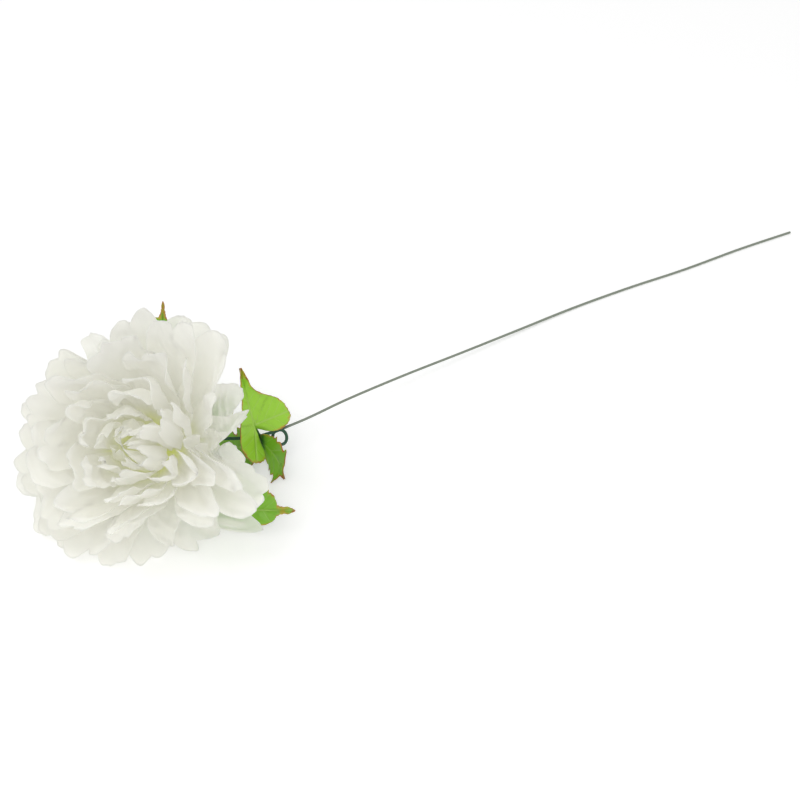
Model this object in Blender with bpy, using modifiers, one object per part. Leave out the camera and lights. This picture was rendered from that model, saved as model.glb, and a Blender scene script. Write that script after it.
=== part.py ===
"""An artificial pompon chrysanthemum lying on a table.

White fabric petal discs are threaded on a ribbed plastic pin, with a disc of green fabric leaves
behind them. The pin stands in a plastic calyx cup, whose socket holds a green wire stem. A second,
smaller leaf disc sits on the wire, just before a loop that is turned in it.
Metres, +Z up. The table is z = 0, and the stem runs towards +X.
"""

import math

import bmesh
import bpy
import numpy as np
from mathutils import Matrix, Vector

MM = 0.001

# Where the flower lies: the middle of the ball of petals, and the way its face looks
HEAD_CENTRE = Vector((-203.9, -7.8, 54.0)) * MM
FACE_ELEVATION = math.radians(42.0)
FACE_TURN = math.radians(40.0)
BALL_CENTRE_UP = 8.0 * MM
LEAN_OVER = (-13.0, 0.0, 0.0)

# How far the ball of petals is out of round: the heights of the broad and the fine waves that run
# through it, shares of its reach at every 20 degrees round the face, and where the big stem leaf
# presses it in
BROAD_WAVE = 4.2
FINE_WAVE = 1.8
OUTLINE = (
    *(0.16, -0.22, -0.08, 0.22, 0.01, -0.13),
    *(-0.20, 0.02, -0.07, -0.06, -0.02, -0.13),
    *(0.06, 0.05, -0.10, -0.26, -0.13, 0.20),
)
LEAF_PRESS = 0.36
LEAF_PRESS_HEADING = math.radians(7.0)
LEAF_PRESS_SPREAD = math.radians(9.0)

# The stack, measured along the face axis from the top of the calyx cup's flange
CLOTH = 0.7 * MM
GAP = 0.3 * MM
PETAL_DISCS = 11
DISC_STEP = 2.1 * MM
LEAF_DISC_UP = 0.65 * MM
BACK_DISC_UP = 2.4 * MM
PIN_RADIUS = 1.7 * MM
RIB_RADIUS = 2.9 * MM
BUTTON_RADIUS = 3.4 * MM

# Petals, from the small disc in the middle of the face to the wide one at the back. A disc's turn is
# counted in the pitch of its own petals
PETAL_COUNTS = (4, 5, 6, 6, 7, 7, 7, 8, 8, 8, 8)
DISC_TURNS = (0.5, 1.25, 1.75, 2.5, 2.6, 3.75, 4.25, 5.0, 5.5, 5.75, 7.15)
PETAL_LENGTH = (36.0 * MM, 74.0 * MM)
PETAL_LEAN = (math.radians(2.0), math.radians(108.0))
PETAL_CURL = (math.radians(-60.0), math.radians(2.0))
PETAL_HALF_WIDTH = (12.0 * MM, 21.0 * MM)
PETAL_FLAT = (3.8 * MM, 7.5 * MM)

# The side away from the stem, where petals spread broad, and how much they crowd on the other side
BROAD_SIDE = math.radians(190.0)
CROWDING = 0.28

# Leaves: lean and curl from the disc's axis and sweep round it in degrees, length and half width in mm
CALYX_LEAVES = (
    (116.0, -6.0, 2.0, 101.0, 12.0),
    (117.0, 4.0, 0.0, 70.0, 15.0),
    (117.0, -4.0, 12.0, 72.0, 15.0),
    (122.0, 6.0, 0.0, 50.0, 13.0),
    (118.0, -2.0, 10.0, 90.0, 14.0),
    (117.0, 2.0, 0.0, 66.0, 15.0),
)
STEM_LEAVES = (
    (84.0, 10.0, -26.0, 36.0, 13.0),
    (96.0, 6.0, -30.0, 28.0, 19.0),
)

# The big stem leaf, in mm from the disc's middle, out from the stem and aside along it: where its
# midrib, its margin towards the loop and its margin towards the flower are at each row of points
BIG_LEAF = (
    (5.0, 1.0, 4.8, -1.0, 4.8, 2.6),
    (8.0, 2.0, 0.5, -9.0, -10.0, 0.5),
    (11.0, 2.5, 0.8, -17.0, -14.5, 4.0),
    (14.0, 2.8, 5.5, -22.4, -12.5, 11.5),
    (17.5, 2.8, 12.5, -20.5, -4.5, 16.0),
    (21.0, 2.8, 18.5, -15.5, 6.0, 14.0),
    (25.0, 2.8, 22.5, -7.5, 14.0, 10.5),
    (30.0, 3.0, 27.0, -1.5, 24.0, 7.6),
    (35.0, 3.2, 33.5, 1.0, 32.0, 6.2),
    (40.0, 3.6, 40.0, 3.4, 40.0, 3.8),
)
BIG_LEAF_TURN = math.radians(14.0)
BIG_LEAF_PROUD = 4.0 * MM
BIG_LEAF_MARGIN_UP = 2.0 * MM
BIG_LEAF_TIP_UP = 5.0 * MM

# Calyx cup
FLANGE_RADIUS = 9.0 * MM
FLANGE_THICK = 1.2 * MM
CUP_DEPTH = 17.0 * MM
PIN_SOCKET_DEPTH = 6.3 * MM
WIRE_SOCKET_TOP = 8.0 * MM

# Wire
WIRE_RADIUS = 0.75 * MM
TAPED_RADIUS = 1.1 * MM
TAPE_BULGE = 2.0 * MM
LOOP_RADIUS = 4.2 * MM
LOOP_PITCH = 2.9 * MM

# How low petals and leaves bend forward where they meet the table
LANDING_HEIGHT = 18.6 * MM
LANDING_REACH = 26.0 * MM
LANDING_ANGLE = math.radians(82.0)


def mix(ends, share):
    return ends[0] + (ends[1] - ends[0]) * share


def smooth(low, high, value):
    """0 below low and 1 above high, with no corner between."""
    share = np.clip((value - low) / (high - low), 0.0, 1.0)
    return share * share * (3.0 - 2.0 * share)


def frame_along(origin, direction):
    """A placement whose Z axis is the direction and whose Y axis leans as far up as it can."""
    z = direction.normalized()
    x = Vector((0.0, 0.0, 1.0)).cross(z).normalized()
    y = z.cross(x)
    return Matrix.Translation(origin) @ Matrix((x, y, z)).transposed().to_4x4()


FACE = Vector(
    (
        -math.cos(FACE_ELEVATION) * math.cos(FACE_TURN),
        -math.cos(FACE_ELEVATION) * math.sin(FACE_TURN),
        math.sin(FACE_ELEVATION),
    )
)
HEAD_BASE = HEAD_CENTRE - FACE * BALL_CENTRE_UP
HEAD = frame_along(HEAD_BASE, FACE)
BEHIND_HEAD = HEAD_CENTRE - FACE * 40.0 * MM

# The stem's bends, from the calyx cup to the leaf disc, and from the loop to the cut end
STEM_ORIGIN = Vector((-209.4, -4.3, 0.0)) * MM
LEAF_NODE = STEM_ORIGIN + Vector((73.0, 8.5, 17.5)) * MM
LOOP_TOP = STEM_ORIGIN + Vector((87.0, 9.6, 14.4)) * MM
STEM_BENDS = (
    (108.0, 10.8, 12.6),
    (138.0, 14.7, 9.6),
    (179.0, 16.9, 6.6),
    (221.0, 17.4, 4.0),
    (264.0, 17.6, 2.0),
    (308.0, 17.0, 0.9),
    (351.0, 13.6, 0.75),
    (394.0, 8.5, 0.75),
    (440.0, 5.0, 0.75),
    (480.4, 0.4, 0.75),
)


def material(name, colour, roughness, metallic=0.0):
    made = bpy.data.materials.new(name)
    made.use_nodes = True
    shader = made.node_tree.nodes["Principled BSDF"]
    shader.inputs["Base Color"].default_value = (*colour, 1.0)
    shader.inputs["Roughness"].default_value = roughness
    shader.inputs["Metallic"].default_value = metallic
    return made


def new_object(name, data, finish, parts):
    made = bpy.data.objects.new(name, data)
    data.materials.append(finish)
    parts.objects.link(made)
    return made


def turned(name, profile, steps, placement, finish, parts):
    """A solid of revolution about the placement's Z axis, from a profile with both ends on the axis."""
    mesh = bpy.data.meshes.new(name)
    edges = [(i, i + 1) for i in range(len(profile) - 1)]
    mesh.from_pydata([(radius, 0.0, up) for radius, up in profile], edges, [])
    made = new_object(name, mesh, finish, parts)
    made.matrix_world = placement
    screw = made.modifiers.new("Turned", "SCREW")
    screw.axis = "Z"
    screw.steps = steps
    screw.render_steps = steps
    screw.use_merge_vertices = True
    screw.merge_threshold = 0.00001
    return made


def calyx_cup(finish, parts):
    """The cup: a flange under the leaf disc, a socket for the pin above and one for the wire below."""
    profile = [
        (0.0, -PIN_SOCKET_DEPTH),
        (PIN_RADIUS + GAP, -PIN_SOCKET_DEPTH),
        (PIN_RADIUS + GAP, 0.0),
        (FLANGE_RADIUS, 0.0),
        (FLANGE_RADIUS, -FLANGE_THICK),
        (5.6 * MM, -2.6 * MM),
        (4.4 * MM, -6.0 * MM),
        (3.3 * MM, -CUP_DEPTH),
        (TAPED_RADIUS + GAP, -CUP_DEPTH),
        (TAPED_RADIUS + GAP, -WIRE_SOCKET_TOP),
        (0.0, -WIRE_SOCKET_TOP),
    ]
    turned("calyx_cup", profile, 16, HEAD, finish, parts)


def core_pin(finish, parts):
    """The pin that the petal discs are threaded on, with a rib under each of them and a button on top."""
    top = BACK_DISC_UP + (PETAL_DISCS - 1) * DISC_STEP + CLOTH / 2 + GAP
    profile = [
        (0.0, top + 1.6 * MM),
        (BUTTON_RADIUS * 0.7, top + 1.2 * MM),
        (BUTTON_RADIUS, top),
        (PIN_RADIUS, top),
    ]
    for number in range(1, PETAL_DISCS + 1):
        under = BACK_DISC_UP + (PETAL_DISCS - number) * DISC_STEP - CLOTH / 2 - GAP
        thick = 0.7 * MM if number < PETAL_DISCS else 0.4 * MM
        profile.append((PIN_RADIUS, under))
        profile.append((RIB_RADIUS, under))
        profile.append((RIB_RADIUS, under - thick))
        profile.append((PIN_RADIUS, under - thick))
    profile.append((PIN_RADIUS, -PIN_SOCKET_DEPTH + GAP))
    profile.append((0.0, -PIN_SOCKET_DEPTH + GAP))
    turned("core_pin", profile, 8, HEAD, finish, parts)


def spline(points, per_span):
    """A smooth path through the points."""
    p = [2 * points[0] - points[1], *points, 2 * points[-1] - points[-2]]
    path = []
    for i in range(1, len(p) - 2):
        for step in range(per_span):
            t = step / per_span
            a = 2 * p[i]
            b = p[i + 1] - p[i - 1]
            c = 2 * p[i - 1] - 5 * p[i] + 4 * p[i + 1] - p[i + 2]
            d = 3 * p[i] - 3 * p[i + 1] + p[i + 2] - p[i - 1]
            path.append((a + b * t + c * t * t + d * t * t * t) / 2)
    path.append(p[-2])
    return path


def stem_path(per_span, loop_steps):
    """The wire's middle line with its radius at each point, from the calyx cup's socket to its cut end."""
    socket = HEAD_BASE - FACE * (WIRE_SOCKET_TOP + GAP)
    mouth = HEAD_BASE - FACE * (CUP_DEPTH + 3.0 * MM)
    run = (LOOP_TOP - LEAF_NODE).normalized()
    inwards = Vector((-0.25, -0.72, -0.64))
    inwards = (inwards - run * inwards.dot(run)).normalized()
    side = run.cross(inwards)
    upper = [
        mouth,
        STEM_ORIGIN + Vector((37.0, 21.0, 26.0)) * MM,
        STEM_ORIGIN + Vector((55.0, 15.0, 20.5)) * MM,
        LEAF_NODE - run * 1.9 * MM,
    ]
    path = [(point, TAPED_RADIUS) for point in [socket, *spline(upper, per_span)]]
    for along, radius in (
        (-1.5, TAPE_BULGE),
        (-0.7, TAPE_BULGE),
        (-0.65, TAPED_RADIUS),
        (0.65, TAPED_RADIUS),
        (0.7, TAPE_BULGE),
        (2.2, TAPE_BULGE * 0.8),
        (3.0, TAPED_RADIUS),
    ):
        path.append((LEAF_NODE + run * along * MM, radius))
    loop_middle = LOOP_TOP + inwards * LOOP_RADIUS
    for step in range(loop_steps + 1):
        turn = 2.0 * math.pi * step / loop_steps
        round_it = run * math.sin(turn) - inwards * math.cos(turn)
        shift = side * LOOP_PITCH * (step / loop_steps - 0.5)
        path.append((loop_middle + round_it * LOOP_RADIUS + shift, TAPED_RADIUS))
    lower = [path[-1][0]]
    for x, y, z in STEM_BENDS:
        lower.append(STEM_ORIGIN + Vector((x, y, z)) * MM)
    for number, point in enumerate(spline(lower, per_span)[1:]):
        path.append((point, TAPED_RADIUS if number == 0 else WIRE_RADIUS))
    return path


def wire_stem(finish, parts):
    path = stem_path(3, 16)
    curve = bpy.data.curves.new("wire_stem", "CURVE")
    curve.dimensions = "3D"
    curve.bevel_depth = WIRE_RADIUS
    curve.bevel_resolution = 2
    curve.use_fill_caps = True
    line = curve.splines.new("POLY")
    line.points.add(len(path) - 1)
    for point, (place, radius) in zip(line.points, path):
        point.co = (*place, 1.0)
        point.radius = radius / WIRE_RADIUS
    new_object("wire_stem", curve, finish, parts)


def meridian(length, lean, curl, flat_radius, bend):
    """The line that a disc's blades follow: arc length, radius, height and angle from the disc's axis.

    It runs flat out from the pin, turns up to its lean over the bend, and curls towards its tip.
    """
    s = np.linspace(0.0, length * 1.15, 300)
    angle = math.pi / 2 + (lean - math.pi / 2) * smooth(flat_radius * 0.8, flat_radius + bend, s)
    angle = angle + curl * smooth(0.40 * length, 1.05 * length, s)
    ds = s[1] - s[0]
    middle = (angle[1:] + angle[:-1]) / 2
    radius = np.concatenate([[0.0], np.cumsum(np.sin(middle)) * ds])
    height = np.concatenate([[0.0], np.cumsum(np.cos(middle)) * ds])
    return s, radius, height, angle


def on_meridian(curve, s, across, half, offset):
    """Points at arc length s, across (-1 to 1) of a blade's half width, raised off its face by offset."""
    s_axis, r_axis, h_axis, a_axis = curve
    radius = np.interp(s, s_axis, r_axis)
    height = np.interp(s, s_axis, h_axis)
    angle = np.interp(s, s_axis, a_axis)
    turn = across * half / radius
    radius = radius - offset * np.cos(angle)
    height = height + offset * np.sin(angle)
    return np.stack([radius * np.cos(turn), radius * np.sin(turn), height + 0.0 * turn], axis=-1)


def tousle(points):
    """Pushes the ball of petals out of round by a few slow waves, which die away towards the pin."""
    p = points / MM
    reach = smooth(18.0, 70.0, np.linalg.norm(p - np.array([0.0, 0.0, 10.0]), axis=-1))
    x, y, z = p[..., 0], p[..., 1], p[..., 2]
    place = np.arctan2(y, x) / (2.0 * math.pi) * len(OUTLINE)
    first = np.floor(place).astype(int)
    here = np.array(OUTLINE)[first % len(OUTLINE)]
    there = np.array(OUTLINE)[(first + 1) % len(OUTLINE)]
    swell = here + (there - here) * smooth(0.0, 1.0, place - first)
    press = (np.arctan2(y, x) - LEAF_PRESS_HEADING) / LEAF_PRESS_SPREAD
    swell = swell - LEAF_PRESS * np.exp(-(press**2))
    broad = [
        np.sin(0.058 * y + 0.041 * z + 0.6),
        np.sin(0.055 * x - 0.047 * z + 2.3),
        np.sin(0.060 * x + 0.052 * y + 4.0) * 0.8,
    ]
    fine = [
        np.sin(0.105 * z - 0.05 * y + 2.1),
        np.sin(0.10 * x + 0.06 * z + 0.4),
        np.sin(0.09 * y - 0.07 * x + 1.2),
    ]
    push = BROAD_WAVE * np.stack(broad, axis=-1) + FINE_WAVE * np.stack(fine, axis=-1)
    push[..., 0] += LEAN_OVER[0] + swell * x
    push[..., 1] += LEAN_OVER[1] + swell * y
    return points + push * reach[..., None] * MM


def landed(points, centre, height):
    """Bends whatever hangs below the height outwards from the centre, until it lies along the table."""
    depth = np.linspace(0.0, 90.0 * MM, 600)
    lie = LANDING_ANGLE * smooth(0.0, LANDING_REACH, depth)
    step = depth[1] - depth[0]
    drop = np.concatenate([[0.0], np.cumsum(np.cos(lie))[:-1]]) * step
    slide = np.concatenate([[0.0], np.cumsum(np.sin(lie))[:-1]]) * step
    below = np.maximum(height - points[..., 2], 0.0)
    out = points.copy()
    away = points[..., :2] - np.array(centre)[:2]
    away = away / np.linalg.norm(away, axis=-1)[..., None]
    out[..., :2] += away * np.interp(below, depth, slide)[..., None]
    out[..., 2] += below - np.interp(below, depth, drop)
    ease = 0.8 * MM
    z = out[..., 2] - CLOTH / 2
    eased = np.where(z > ease, z, np.where(z < -ease, 0.0, (z + ease) ** 2 / (4.0 * ease)))
    out[..., 2] = CLOTH / 2 + eased
    return out


def placed(points, placement):
    m = np.array(placement)
    return points @ m[:3, :3].T + m[:3, 3]


def spin(points, turn):
    c, s = math.cos(turn), math.sin(turn)
    return points @ np.array([[c, s, 0.0], [-s, c, 0.0], [0.0, 0.0, 1.0]])


def spin_each(points, turns):
    """Spins each point by its own turn."""
    c, s = np.cos(turns), np.sin(turns)
    x, y, z = points[..., 0], points[..., 1], points[..., 2]
    return np.stack([x * c - y * s, x * s + y * c, z], axis=-1)


def crowded(points):
    """Turns points about the pin, towards the stem side the more they look across it."""
    heading = np.arctan2(points[:, 1], points[:, 0])
    return spin_each(points, CROWDING * np.sin(heading - BROAD_SIDE))


class DiscSheet:
    """A die-cut fabric disc as an open sheet: a ring round the hole, and blades that grow from its rim.

    The blades share the ring's rim points with it and with each other, so the sheet is one piece.
    """

    def __init__(self, blades, columns, hole_radius, flat_radius):
        self.columns = columns
        self.around = blades * columns
        turns = (np.arange(self.around) - columns / 2) * 2.0 * math.pi / self.around
        self.points = []
        for radius in (hole_radius, flat_radius):
            ring = [radius * np.cos(turns), radius * np.sin(turns), 0.0 * turns]
            self.points.extend(np.stack(ring, axis=-1))
        self.faces = []
        for i in range(self.around):
            j = (i + 1) % self.around
            self.faces.append((i, self.around + i, self.around + j, j))

    def add_blade(self, index, rows):
        """rows is an array of rows by columns + 1 points, from just past the rim to the tip."""
        start = index * self.columns
        below = [self.around + (start + c) % self.around for c in range(self.columns + 1)]
        for row in rows:
            here = [len(self.points) + c for c in range(self.columns + 1)]
            self.points.extend(row)
            for c in range(self.columns):
                self.faces.append((below[c], here[c], here[c + 1], below[c + 1]))
            below = here


def solid_sheet(name, points, faces, finish, parts):
    """The sheet split into triangles, which both faces of the thickened cloth then share."""
    mesh = bpy.data.meshes.new(name)
    mesh.from_pydata([tuple(p) for p in points], [], faces)
    work = bmesh.new()
    work.from_mesh(mesh)
    bmesh.ops.triangulate(work, faces=work.faces, quad_method="SHORT_EDGE")
    work.to_mesh(mesh)
    work.free()
    mesh.shade_smooth()
    made = new_object(name, mesh, finish, parts)
    cloth = made.modifiers.new("Cloth", "SOLIDIFY")
    cloth.thickness = CLOTH
    cloth.offset = 0.0
    cloth.use_even_offset = False
    return made


def petal_grid(rng, curve, flat_radius, length, blades, half_width, broad, columns, rows):
    """One petal's points, in its disc's own axes with the petal pointing along +X.

    Its tip is scalloped in one, two or three lobes, more of them the broader it is; it is cupped,
    twisted and lifted, and its margins are ruffled.
    """
    long = length * rng.uniform(0.93, 1.05)
    kind = rng.random_sample()
    lobes = 1 if kind < 0.62 - 0.50 * broad else 2 if kind < 0.92 - 0.30 * broad else 3
    notch = (0.0, rng.uniform(0.05, 0.10), rng.uniform(0.04, 0.08))[lobes - 1]
    shoulder = (rng.uniform(0.14, 0.24), rng.uniform(0.07, 0.12), rng.uniform(0.08, 0.14))[lobes - 1]
    wide = half_width * (rng.uniform(0.52, 0.70), rng.uniform(0.78, 0.98), 1.05)[lobes - 1]
    taper = (0.25, 0.08, 0.04)[lobes - 1]
    cup = mix((0.42, 0.14), broad) * rng.uniform(0.6, 1.3)
    twist = rng.uniform(-0.13, 0.13)
    lift = rng.uniform(-0.03, 0.04) * long
    ruffle = rng.uniform(0.06, 0.18)
    phase = rng.uniform(0.0, 2.0 * math.pi)

    across = np.linspace(-1.0, 1.0, columns + 1)[None, :]
    along = (np.arange(1, rows + 1) / rows)[:, None]
    scallop = np.abs(np.sin(0.5 * math.pi * lobes * (across + 1.0))) ** 0.6
    tip = 1.0 - shoulder * np.abs(across) ** 3.2 - notch * (1.0 - scallop)
    s = flat_radius + (long * tip - flat_radius) * along
    radius = np.interp(s, curve[0], curve[1])
    room = math.pi * radius / blades - 0.45 * MM
    half = room * wide / (room**4 + wide**4) ** 0.25
    half = half * (1.0 - taper * along**4)
    grow = smooth(0.12, 1.0, along)
    offset = cup * half * (across**2 - 0.35) * grow
    offset = offset + twist * across * half * grow
    offset = offset + lift * grow**1.5
    margin = np.abs(across) ** 4 * half * grow
    offset = offset + ruffle * margin * np.sin(s / (7.0 * MM) + phase + 2.0 * across)
    return on_meridian(curve, s, across, half, offset)


def petal_disc(number, finish, parts):
    """Petal discs count from 1, in the middle of the face, to PETAL_DISCS at the back."""
    share = (number - 1) / (PETAL_DISCS - 1)
    rng = np.random.RandomState(40 + number)
    blades = PETAL_COUNTS[number - 1]
    columns, rows = (4, 5) if number < 4 else (6, 4) if number < 8 else (8, 4)
    length = mix(PETAL_LENGTH, share**0.6)
    lean = mix(PETAL_LEAN, share**0.90)
    curl = mix(PETAL_CURL, share**1.4)
    flat_radius = mix(PETAL_FLAT, share)
    bend = mix((9.0 * MM, 20.0 * MM), share)
    curve = meridian(length, lean, curl, flat_radius, bend)
    half_width = mix(PETAL_HALF_WIDTH, share**0.6)
    sheet = DiscSheet(blades, columns, PIN_RADIUS + GAP, flat_radius)
    pitch = 2.0 * math.pi / blades
    for index in range(blades):
        heading = (DISC_TURNS[number - 1] + index) * pitch
        broad = 0.5 + 0.5 * math.cos(heading - BROAD_SIDE)
        size = (flat_radius, length, blades, half_width)
        grid = petal_grid(rng, curve, *size, broad, columns, rows)
        sheet.add_blade(index, spin(grid, index * pitch))
    points = crowded(spin(np.array(sheet.points), DISC_TURNS[number - 1] * pitch))
    points[:, 2] += BACK_DISC_UP + (PETAL_DISCS - number) * DISC_STEP
    points = landed(placed(tousle(points), HEAD), BEHIND_HEAD, LANDING_HEIGHT)
    solid_sheet(f"petal_disc_{number:02d}", points, sheet.faces, finish, parts)


def leaf_grid(rng, curve, flat_radius, length, blades, half_width, sweep, columns, rows):
    """One leaf's points: lobed sides that narrow to a long tip, folded a little along its midrib.

    Sweep is how far its tip is turned aside round the disc.
    """
    long = length * rng.uniform(0.92, 1.04)
    wide = half_width * rng.uniform(0.88, 1.06)
    fold = rng.uniform(0.10, 0.24)
    twist = rng.uniform(-0.22, 0.22)
    droop = rng.uniform(-0.02, 0.06) * long
    wave = rng.uniform(0.8, 1.6) * MM
    phase = rng.uniform(0.0, 2.0 * math.pi)

    across = np.linspace(-1.0, 1.0, columns + 1)[None, :]
    along = (np.arange(1, rows + 1) / rows)[:, None]
    s = flat_radius + (long - flat_radius) * along
    radius = np.interp(s, curve[0], curve[1])
    blade = np.sin(math.pi * along**0.86) ** 0.72 * (1.0 - 0.35 * along)
    lobes = 1.0 + 0.30 * np.cos(2.0 * math.pi * (4.0 * along - 0.12))
    full = wide * 1.30 * blade * lobes + 0.5 * MM
    room = math.pi * radius / blades - 0.45 * MM
    half = room * full / (room**4 + full**4) ** 0.25
    s = s + 0.30 * half * (np.abs(across) ** 1.4) * np.sin(math.pi * along)
    grow = smooth(0.10, 1.0, along)
    offset = fold * half * (np.abs(across) - 0.4) * grow
    offset = offset + twist * across * half * grow - droop * grow
    offset = offset + wave * np.sin(7.0 * along + 1.6 * across + phase) * grow * np.abs(across)
    return spin_each(on_meridian(curve, s, across, half, offset), sweep * along**2)


def big_leaf_grid(columns):
    """The three-lobed leaf's points, turned on its stalk to lie along the stem, a little proud of it.

    Each row runs from one margin over the midrib to the other. The margins and the tip lift further.
    """
    out, aside, right_out, right_aside, left_out, left_aside = np.array(BIG_LEAF).T[:, :, None] * MM
    across = np.linspace(-1.0, 1.0, columns + 1)[None, :]
    reach = np.abs(across)
    margin_out = np.where(across > 0.0, left_out, right_out)
    margin_aside = np.where(across > 0.0, left_aside, right_aside)
    along = np.linspace(0.0, 1.0, len(BIG_LEAF))[:, None]
    proud = BIG_LEAF_PROUD * smooth(-0.08, 0.16, along)
    proud = proud + BIG_LEAF_MARGIN_UP * reach * smooth(0.2, 0.5, along)
    proud = proud + BIG_LEAF_TIP_UP * along**2
    x = out + (margin_out - out) * reach
    z = aside + (margin_aside - aside) * reach
    return spin(np.stack([x, -proud, z], axis=-1), BIG_LEAF_TURN)


def leaf_disc(name, leaves, big_leaf, first_turn, hole_radius, flat_radius, seed, finish, parts, shape):
    """Each leaf is its lean, curl and sweep in degrees, its length and half width in mm.

    The first one points first_turn round from +X, and the big leaf comes last, where there is one.
    Shape takes the disc's points to where they lie.
    """
    rng = np.random.RandomState(seed)
    columns, rows = 4, 8
    blades = len(leaves) + (1 if big_leaf else 0)
    sheet = DiscSheet(blades, columns, hole_radius, flat_radius)
    pitch = 2.0 * math.pi / blades
    for index, (lean, curl, sweep, long, wide) in enumerate(leaves):
        long, wide, sweep = long * MM, wide * MM, math.radians(sweep)
        curve = meridian(long, math.radians(lean), math.radians(curl), flat_radius, long * 0.2)
        grid = leaf_grid(rng, curve, flat_radius, long, blades, wide, sweep, columns, rows)
        sheet.add_blade(index, spin(grid, index * pitch))
    if big_leaf:
        sheet.add_blade(blades - 1, spin(big_leaf_grid(columns), (blades - 1) * pitch))
    points = shape(spin(np.array(sheet.points), math.radians(first_turn)))
    solid_sheet(name, points, sheet.faces, finish, parts)


def calyx_leaf_disc(finish, parts):
    def shape(points):
        points[:, 2] += LEAF_DISC_UP
        return landed(placed(tousle(points), HEAD), BEHIND_HEAD, LANDING_HEIGHT)

    hole = PIN_RADIUS + GAP
    flat = FLANGE_RADIUS + 2.0 * MM
    leaf_disc("calyx_leaf_disc", CALYX_LEAVES, False, 95.0, hole, flat, 3, finish, parts, shape)


def stem_leaf_disc(finish, parts):
    placement = frame_along(LEAF_NODE, LEAF_NODE - LOOP_TOP)
    centre = LEAF_NODE + Vector((6.0, 6.0, 0.0)) * MM

    def shape(points):
        return landed(placed(points, placement), centre, LANDING_HEIGHT * 0.8)

    hole = TAPED_RADIUS + GAP
    flat = hole + 2.7 * MM
    leaf_disc("stem_leaf_disc", STEM_LEAVES, True, 238.0, hole, flat, 8, finish, parts, shape)


def main():
    for old in list(bpy.data.objects):
        bpy.data.objects.remove(old)
    parts = bpy.data.collections.new("pompon_chrysanthemum")
    bpy.context.scene.collection.children.link(parts)
    petal_cloth = material("petal_cloth", (0.86, 0.87, 0.82), 0.75)
    leaf_cloth = material("leaf_cloth", (0.23, 0.42, 0.06), 0.55)
    calyx_plastic = material("calyx_plastic", (0.10, 0.22, 0.07), 0.5)
    pin_plastic = material("pin_plastic", (0.80, 0.82, 0.55), 0.5)
    stem_coat = material("stem_coat", (0.16, 0.20, 0.17), 0.55)
    for number in range(1, PETAL_DISCS + 1):
        petal_disc(number, petal_cloth, parts)
    calyx_leaf_disc(leaf_cloth, parts)
    stem_leaf_disc(leaf_cloth, parts)
    calyx_cup(calyx_plastic, parts)
    core_pin(pin_plastic, parts)
    wire_stem(stem_coat, parts)


main()
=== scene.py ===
"""An artificial pompon chrysanthemum on a pale floor.

It has fine cloth petals and leaves, a coated wire stem, a moulded cup and the pin in its middle.
Every surface is worked out on a grid with numpy, from the same dimensions as the part's solids.
Lengths are in metres, +Z is up, and the floor is z = 0. Colours are linear red, green and blue.
"""

import math

import bpy
import numpy as np
from mathutils import Matrix, Vector

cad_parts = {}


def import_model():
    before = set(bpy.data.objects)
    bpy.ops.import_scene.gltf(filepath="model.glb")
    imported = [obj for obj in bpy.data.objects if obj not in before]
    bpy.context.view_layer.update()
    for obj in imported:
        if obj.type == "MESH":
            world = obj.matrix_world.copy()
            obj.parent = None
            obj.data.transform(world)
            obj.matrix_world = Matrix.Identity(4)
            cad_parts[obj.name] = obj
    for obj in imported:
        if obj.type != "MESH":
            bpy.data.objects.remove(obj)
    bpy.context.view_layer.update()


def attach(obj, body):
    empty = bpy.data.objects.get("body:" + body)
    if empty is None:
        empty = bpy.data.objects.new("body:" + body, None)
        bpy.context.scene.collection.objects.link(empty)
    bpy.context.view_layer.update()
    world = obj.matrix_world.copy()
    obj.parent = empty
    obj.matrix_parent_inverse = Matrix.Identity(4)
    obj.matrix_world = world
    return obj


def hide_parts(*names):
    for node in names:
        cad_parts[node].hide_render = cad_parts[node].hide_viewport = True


MM = 0.001
TURN = 2.0 * math.pi

# Where the flower lies, and the point on the floor that the stem's bends are measured from
HEAD_CENTRE = Vector((-203.9, -7.8, 54.0)) * MM
FACE_ELEVATION = math.radians(42.0)
FACE_TURN = math.radians(40.0)
BALL_CENTRE_UP = 8.0 * MM
STEM_ORIGIN = Vector((-209.4, -4.3, 0.0)) * MM

# What pushes the ball of petals out of round, in mm: a lean along X, and broad and fine waves.
# A row of waves is its slopes along x, y and z and its start. Its three rows push along x, y and z.
# The push grows from nothing to all of it between two distances from a point on the axis.
LEAN_OVER = -13.0
BROAD_PUSH = (4.2, 4.2, 3.36)
BROAD_WAVES = ((0.0, 0.058, 0.041, 0.6), (0.055, 0.0, -0.047, 2.3), (0.060, 0.052, 0.0, 4.0))
FINE_PUSH = (1.8, 1.8, 1.8)
FINE_WAVES = ((0.0, -0.05, 0.105, 2.1), (0.10, 0.0, 0.06, 0.4), (-0.07, 0.09, 0.0, 1.2))
PUSH_FROM = (0.0, 0.0, 10.0)
PUSH_GROWS = (18.0, 70.0)

# How much further the petals reach in 18 directions round the pin, as a share of their distance
# from it, and how much less in the narrow wedge where the big leaf lies
OUTLINE = (
    *(0.16, -0.22, -0.08, 0.22, 0.01, -0.13),
    *(-0.20, 0.02, -0.07, -0.06, -0.02, -0.13),
    *(0.06, 0.05, -0.10, -0.26, -0.13, 0.20),
)
LEAF_PRESS = 0.36
LEAF_PRESS_HEADING = math.radians(7.0)
LEAF_PRESS_SPREAD = math.radians(9.0)

# Below this height, petals and leaves bend away from a point behind the face, over the reach, until
# they lie at the angle, almost along the floor. The ease rounds off their last touch.
LANDING_HEIGHT = 18.6 * MM
LANDING_REACH = 26.0 * MM
LANDING_ANGLE = math.radians(82.0)
LANDING_EASE = 0.8 * MM
BEHIND_FACE = 40.0 * MM

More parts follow.
